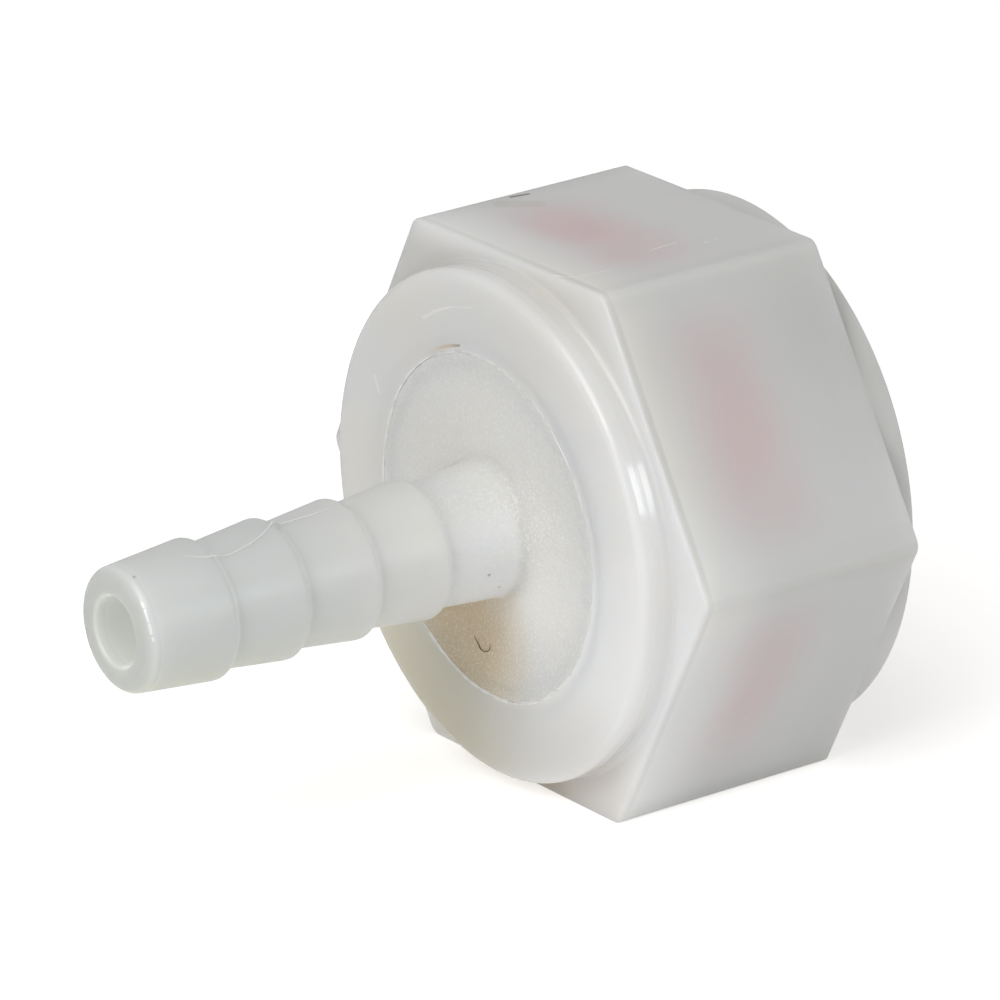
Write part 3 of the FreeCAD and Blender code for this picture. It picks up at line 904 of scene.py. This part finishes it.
nut_mesh = bmesh.new()
nut_rings(nut_mesh)
add_hexagon(nut_mesh)
bmesh.ops.recalc_face_normals(nut_mesh, faces=nut_mesh.faces)
for station in (HEX_FRONT, HEX_REAR):
    edges = open_edges(nut_mesh, station)
    print("open edges at station", station, ":", len(edges))
    bmesh.ops.bridge_loops(nut_mesh, edges=edges)
print("open edges left:", sum(edge.is_boundary for edge in nut_mesh.edges))

# %% [markdown]
# ## The hose thread
#
# A garden hose thread is coarse, 11.5 turns to the inch, with a pointed V form. A tap would cut it, so
# a tap's tooth is made here: a V-shaped section spun about the axis while it climbs by one pitch each
# turn. A boolean then cuts that tooth out of the plain bore. Both ends of the tooth lie in open
# space, one outside the mouth and one in the chamber, so the groove runs out by itself.

# %% Cut the thread
PITCH = 25.4 / 11.5
THREAD_ROOT = CHAMBER_RADIUS - 0.06
ROOT_FLAT = 0.3
V_SLOPE = math.tan(math.radians(30))
THREAD_TURNS = 5
STEPS_A_TURN = 96
RUN_OUT = 1.0


def thread_tooth():
    """The tap's tooth, a closed helical ridge."""
    bm = bmesh.new()
    foot = THREAD_CREST - 0.15
    half_root = ROOT_FLAT / 2
    half_foot = half_root + (THREAD_ROOT - foot) * V_SLOPE
    start = -(CHAMBER_START + RUN_OUT)
    corners = ((-half_foot, foot), (half_foot, foot), (half_root, THREAD_ROOT), (-half_root, THREAD_ROOT))
    verts = [bm.verts.new((start + along, 0, radius)) for along, radius in corners]
    for near, far in zip(verts, verts[1:] + verts[:1]):
        bm.edges.new((near, far))
    bmesh.ops.spin(
        bm,
        geom=bm.verts[:] + bm.edges[:],
        cent=(0, 0, 0),
        axis=(1, 0, 0),
        dvec=(PITCH / STEPS_A_TURN, 0, 0),
        angle=math.tau * THREAD_TURNS,
        steps=STEPS_A_TURN * THREAD_TURNS,
    )
    bmesh.ops.holes_fill(bm, edges=[edge for edge in bm.edges if edge.is_boundary], sides=4)
    bmesh.ops.recalc_face_normals(bm, faces=bm.faces)
    return bm


def plain_object(bm, name):
    """A bare object for a boolean."""
    mesh = bpy.data.meshes.new(name)
    bmesh.ops.recalc_face_normals(bm, faces=bm.faces)
    bm.to_mesh(mesh)
    bm.free()
    thing = bpy.data.objects.new(name, mesh)
    bpy.context.scene.collection.objects.link(thing)
    return thing


def cut(body_mesh, tool_mesh):
    """The first bmesh with the second one cut out of it, as a new bmesh."""
    body, tool = plain_object(body_mesh, "body"), plain_object(tool_mesh, "tool")
    boolean = body.modifiers.new("cut", "BOOLEAN")
    boolean.object = tool
    boolean.operation = "DIFFERENCE"
    boolean.solver = "EXACT"
    evaluated = body.evaluated_get(bpy.context.evaluated_depsgraph_get())
    result = bmesh.new()
    result.from_mesh(evaluated.to_mesh())
    for thing in (body, tool):
        bpy.data.objects.remove(thing)
    return result


nut_mesh = cut(nut_mesh, thread_tooth())
print("open edges after the thread:", sum(not edge.is_manifold for edge in nut_mesh.edges))
nut = make_piece(nut_mesh, "nut_moulding", NUT_PLASTIC, "nut")
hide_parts("swivel_nut")
print("nut faces:", len(nut.data.polygons))

# %% [markdown]
# ## The sealing washer
#
# The washer is punched or moulded from red rubber. It shows from the mouth side, and through the nut
# as a pink glow. Its profile is a rectangle with softened corners.

# %% Turn the washer
washer_mesh = bmesh.new()
rear, front = WASHER_STATIONS
draw_wire(
    washer_mesh,
    (
        (rear, WASHER_HOLE, 0.3),
        (front, WASHER_HOLE, 0.3),
        (front, WASHER_RADIUS, 0.3),
        (rear, WASHER_RADIUS, 0.3),
    ),
    closed=True,
)
spin_wire(washer_mesh)
washer = make_piece(washer_mesh, "rubber_washer", RUBBER, "nut")
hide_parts("sealing_washer")
print("washer faces:", len(washer.data.polygons))

# %% [markdown]
# ## Slivers
#
# Four small things are left to make: the flash on the barbs, burrs in two places and a stray fibre. All
# of them could be painted, but paint wouldn't catch the light on an edge as a raised line does. So
# each is a thin tube that follows a line on the surface and tapers at both ends. Its rings are
# circles set across the line, bridged one to the next.

# %% A thin tapered tube along a line
TUBE_SIDES = 6
LEAST_SWELL = 0.12


def add_sliver(bm, places, thickness):
    """A tube through the places, in millimetres, that tapers to a point at both ends."""
    rings = []
    last = len(places) - 1
    for index, place in enumerate(places):
        ahead = places[min(index + 1, last)] - places[max(index - 1, 0)]
        swell = math.sqrt(max(math.sin(math.pi * index / last), LEAST_SWELL))
        turn = ahead.to_track_quat("Z", "Y").to_matrix().to_4x4()
        made = bmesh.ops.create_circle(
            bm,
            cap_ends=index in (0, last),
            radius=thickness / 2 * swell,
            segments=TUBE_SIDES,
            matrix=Matrix.Translation(place) @ turn,
        )["verts"]
        rings.append({edge for vert in made for edge in vert.link_edges})
    for near, far in zip(rings, rings[1:]):
        bmesh.ops.bridge_loops(bm, edges=list(near | far))


def smooth_line(places, spacing):
    """Points a set distance apart along a gentle curve through the places."""
    curve = bpy.data.curves.new("line", "CURVE")
    curve.dimensions = "3D"
    spline = curve.splines.new("NURBS")
    spline.points.add(len(places) - 1)
    for point, place in zip(spline.points, places):
        point.co = (*place, 1)
    spline.use_endpoint_u = True
    spline.order_u = 3
    spline.resolution_u = 12
    guide = bpy.data.objects.new("line", curve)
    mesh = bpy.data.meshes.new_from_object(guide)
    dense = [vert.co.copy() for vert in mesh.vertices]
    bpy.data.objects.remove(guide)
    kept = [dense[0]]
    for place in dense[1:]:
        if (place - kept[-1]).length >= spacing:
            kept.append(place)
    return kept


print("a sliver has", TUBE_SIDES, "sides")

# %% [markdown]
# ## Flash over the barbs
#
# Where two halves of a mould meet, a hair-thin fin of plastic is left, called flash. Here it wanders
# over the top of the barbs. Its line is given by stations and angles, and the radius at each point
# comes from the barbs, so the fin lies on their skin.

# %% Flash over the barbs
FLASH_LINE = (
    (39.5, 107), (39.0, 112), (38.5, 116), (37.9, 117), (37.2, 116), (36.2, 114), (35.2, 111.5),
    (34.2, 106), (33.4, 99), (33.08, 95), (32.5, 92.5), (31.4, 94), (30.5, 96.8), (29.3, 97),
)
FLASH_SPACING = 0.12
FLASH_THICKNESS = 0.10


def barb_radius(station):
    """The outer radius of the barbs at a station."""
    start = max(shoulder for shoulder in SHOULDERS if shoulder <= station + 0.01)
    end = min([shoulder for shoulder in SHOULDERS if shoulder > start], default=TIP)
    return SHOULDER_RADIUS - (SHOULDER_RADIUS - FOOT_RADIUS) * (station - start) / (end - start)


flash_mesh = bmesh.new()
flash_line = [on_stem(station, angle, barb_radius(station)) for station, angle in FLASH_LINE]
add_sliver(flash_mesh, smooth_line(flash_line, FLASH_SPACING), FLASH_THICKNESS)
flash = make_piece(flash_mesh, "moulding_flash", THIN_PLASTIC, "stem")
print("flash faces:", len(flash.data.polygons))

# %% [markdown]
# ## Burrs round the hub's rim
#
# Where the hub rubs in the nut's window, its rim has lifted in short, broken burrs. Each is an arc
# between two angles. Smooth noise that depends only on the angle makes it wobble a little, so it comes
# out the same in every run.

# %% Burrs round the hub's rim
BURRS = (
    (92, 96, 0.05), (99, 101, 0.07), (103, 108, 0.05), (110, 112, 0.07), (114, 118, 0.06),
    (121, 124, 0.05), (129, 146, 0.09), (146.5, 161, 0.07), (164, 168, 0.05),
    (-170, -167, 0.05), (-137, -134, 0.08), (-131, -129, 0.07), (-127, -124, 0.09), (-121, -118, 0.07),
    (-100, -50, 0.08), (-112, -104, 0.05), (-160, -150, 0.06), (-150, -142, 0.05), (62, 78, 0.05),
    (8, 34, 0.05), (-48, -20, 0.05),
)
BURR_HEIGHT = 0.03
BURR_STEP = 1.2
WOBBLES_A_DEGREE = 0.9
THICKNESS_TO_WIDTH = 1.4

burr_mesh = bmesh.new()
for start, end, width in BURRS:
    count = max(4, round(abs(end - start) / BURR_STEP))
    arc = []
    for step in range(count + 1):
        angle = start + (end - start) * step / count
        wobble = noise.noise(Vector((angle * WOBBLES_A_DEGREE, start, 0))) * BURR_HEIGHT
        arc.append(on_stem(HUB_FACE + BURR_HEIGHT, angle, HUB_RADIUS - BURR_HEIGHT + wobble))
    add_sliver(burr_mesh, arc, THICKNESS_TO_WIDTH * width)
burrs = make_piece(burr_mesh, "hub_rim_burrs", THIN_PLASTIC, "stem")
print("burr faces:", len(burrs.data.polygons))

# %% [markdown]
# ## Burrs along the front edge
#
# One front edge of the hexagon has taken knocks, and each has pushed up a low ridge. The places below
# are the knocks, by side and height. A ridge starts at one knock and runs a little over half the way to
# the next, and the rest of the edge is clean.

# %% Burrs along the hexagon's front edge
FRONT_NICKS = (
    (-9.41, 15.42), (-10.30, 13.79), (-11.45, 11.86), (-12.32, 10.23),
    (-13.62, 8.00), (-15.84, 3.86), (-16.87, 2.20), (-17.98, 0.28),
)
NICK_SHARES = (0.0, 0.15, 0.3, 0.45, 0.6)
NICK_THICKNESS = 0.045
NICK_PLANE = HEX_FRONT - 0.06

edge_mesh = bmesh.new()
for start, end in zip(FRONT_NICKS, FRONT_NICKS[1:]):
    ends = [Vector((-NICK_PLANE, *place)) for place in (start, end)]
    add_sliver(edge_mesh, [ends[0].lerp(ends[1], share) for share in NICK_SHARES], NICK_THICKNESS)
edge_burrs = make_piece(edge_mesh, "front_edge_burrs", THIN_PLASTIC, "nut")
print("front edge burr faces:", len(edge_burrs.data.polygons))

# %% [markdown]
# ## A stray fibre
#
# A short brown fibre has settled on the hub's face below the root, curled like a hook. It rides on the
# stem and is about as thick as a hair.

# %% Fibre on the hub
FIBRE_LINE = (
    (1.63, -7.05), (1.55, -7.25), (1.25, -7.42), (1.12, -7.68),
    (0.80, -7.78), (0.40, -7.66), (0.08, -7.40), (0.10, -7.05),
)
FIBRE_HEIGHT = 0.03
FIBRE_SPACING = 0.08
FIBRE_THICKNESS = 0.075

fibre_mesh = bmesh.new()
fibre_line = [Vector((-(HUB_FACE + FIBRE_HEIGHT), y, z)) for y, z in FIBRE_LINE]
add_sliver(fibre_mesh, smooth_line(fibre_line, FIBRE_SPACING), FIBRE_THICKNESS)
fibre = make_piece(fibre_mesh, "stray_fibre", FIBRE, "stem")
print("fibre faces:", len(fibre.data.polygons))

# %% [markdown]
# ## The floor
#
# A pale floor catches a soft shadow. The camera sees it as white, because it has a little light of
# its own that is strong for camera rays, weaker in reflections and weakest as a lamp. That way it
# doesn't wash the plastic out from below.

# %% Floor
FLOOR_LIGHT = 0.14
FLOOR_MIRRORED = 0.3
FLOOR_SEEN = 0.6
FLOOR_HALF = 1500


def strength_by_ray(tree, lit, mirrored, seen):
    """A strength for rays that light things, another for mirrors and a third for the camera."""
    path = tree.nodes.new("ShaderNodeLightPath")
    last = lit
    for ray, strength in (("Is Glossy Ray", mirrored), ("Is Camera Ray", seen)):
        share = tree.nodes.new("ShaderNodeMapRange")
        tree.links.new(path.outputs[ray], share.inputs["Value"])
        share.inputs["To Max"].default_value = strength
        if isinstance(last, bpy.types.NodeSocket):
            tree.links.new(last, share.inputs["To Min"])
        else:
            share.inputs["To Min"].default_value = last
        last = share.outputs[0]
    return last


def paper():
    """White paper: plain diffuse, and a little brighter where it is seen."""
    material = bpy.data.materials.new("white_paper")
    material.use_nodes = True
    material.cycles.emission_sampling = "NONE"
    tree = material.node_tree
    shader = tree.nodes["Principled BSDF"]
    shader.inputs["Base Color"].default_value = (0.9, 0.9, 0.9, 1)
    shader.inputs["Roughness"].default_value = 1.0
    shader.inputs["Specular IOR Level"].default_value = 0.0
    shader.inputs["Emission Color"].default_value = (1.0, 0.985, 0.96, 1)
    strength = strength_by_ray(tree, FLOOR_LIGHT, FLOOR_MIRRORED, FLOOR_SEEN)
    tree.links.new(strength, shader.inputs["Emission Strength"])
    return material


floor_mesh = bmesh.new()
under = Matrix.Translation((0, 0, nut_low.z))
bmesh.ops.create_grid(floor_mesh, x_segments=1, y_segments=1, size=FLOOR_HALF, matrix=under)
bmesh.ops.scale(floor_mesh, vec=(MM, MM, MM), verts=floor_mesh.verts)
floor_data = bpy.data.meshes.new("floor")
floor_mesh.to_mesh(floor_data)
floor_mesh.free()
floor_data.materials.append(paper())
floor = bpy.data.objects.new("floor", floor_data)
bpy.context.scene.collection.objects.link(floor)
print("floor at", round(nut_low.z, 3), "mm")

# %% [markdown]
# ## The sky
#
# The sky is built the same way as the floor: white where the camera sees it, a little dimmer in
# reflections and faint as a lamp, so that the softboxes shape the plastic.

# %% Sky
SKY_LIGHT = 0.09
SKY_MIRRORED = 0.8
SKY_SEEN = 1.0


def paint_sky():
    """A white sky where it is seen, and a dimmer one as a lamp."""
    world = bpy.data.worlds.new("studio")
    bpy.context.scene.world = world
    world.use_nodes = True
    strength = strength_by_ray(world.node_tree, SKY_LIGHT, SKY_MIRRORED, SKY_SEEN)
    background = world.node_tree.nodes["Background"]
    background.inputs["Color"].default_value = (1, 1, 1, 1)
    world.node_tree.links.new(strength, background.inputs["Strength"])


paint_sky()
print("world:", bpy.context.scene.world.name)

# %% [markdown]
# ## The lamps
#
# A large softbox high on the barb's side throws the stem's shadow on the hub. A tall, narrow one on
# the same side draws the bright streak on the nose's rim, and a short strip to the right draws the
# streaks on the collar and the barbs. Two weak lamps lift the right side and the back.

# %% Lamps
NEUTRAL = (1, 1, 1)
COOL = (0.88, 0.95, 1.0)
LAMP_DISTANCE = 600


def softbox(name, azimuth, elevation, size, power, colour):
    """A rectangular lamp that looks at the nut's front, in degrees, millimetres and watts."""
    turn, rise = math.radians(azimuth), math.radians(elevation)
    towards = Vector(
        (math.sin(turn) * math.cos(rise), -math.cos(turn) * math.cos(rise), math.sin(rise))
    )
    lamp = bpy.data.lights.new(name, "AREA")
    lamp.shape = "RECTANGLE"
    lamp.size, lamp.size_y = (side * MM for side in size)
    lamp.energy = power
    lamp.color = colour
    thing = bpy.data.objects.new(name, lamp)
    bpy.context.scene.collection.objects.link(thing)
    middle = Vector((-HEX_FRONT, 0, 0))
    thing.location = (middle + towards * LAMP_DISTANCE) * MM
    thing.rotation_euler = towards.to_track_quat("Z", "Y").to_euler()


softbox("key_softbox", -62, 57, (480, 480), 2.1, NEUTRAL)
softbox("left_softbox", -66, 24, (60, 540), 0.75, NEUTRAL)
softbox("right_softbox", 5, 25, (260, 260), 0.07, COOL)
softbox("rear_softbox", 85, 25, (260, 260), 0.36, NEUTRAL)
softbox("right_strip", 27, 20, (60, 200), 0.26, COOL)

# %% [markdown]
# ## The view transform
#
# The view transform stays plain, so that a colour renders about as it is written.

# %% Plain view transform
bpy.context.scene.view_settings.view_transform = "Standard"
